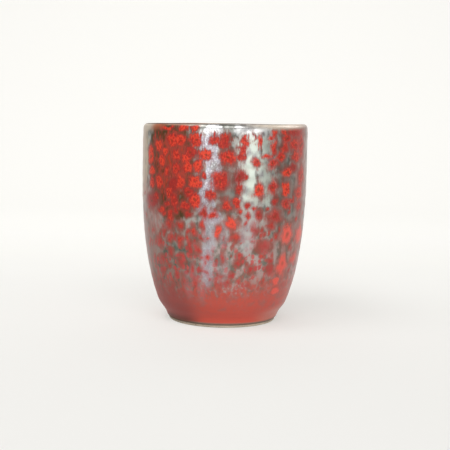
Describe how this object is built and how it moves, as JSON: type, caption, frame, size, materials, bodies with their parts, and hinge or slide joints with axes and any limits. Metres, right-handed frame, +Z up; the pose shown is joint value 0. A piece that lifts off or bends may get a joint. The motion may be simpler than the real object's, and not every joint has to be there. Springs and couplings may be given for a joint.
{
  "type": "mug",
  "caption": "Handleless stoneware mug with a straight upper wall, a belly drawn in to a turned foot, and a glaze coat outside and inside; stands on its bare foot ring and holds a drink.",
  "frame": {"origin": "centre of the face that the foot ring rests on", "axes": "+Z up along the mug's axis, from the foot to the mouth; -Y towards the side that the picture shows; +X to the right in the picture"},
  "size_m": [0.081, 0.0806, 0.0971],
  "materials": {
    "clay": "matte",
    "outer_glaze": "gloss",
    "inner_glaze": "gloss"
  },
  "bodies": {
    "root": {"stoneware_body": "clay", "outer_glaze": "outer_glaze", "inner_glaze": "inner_glaze"}
  },
  "joints": []
}
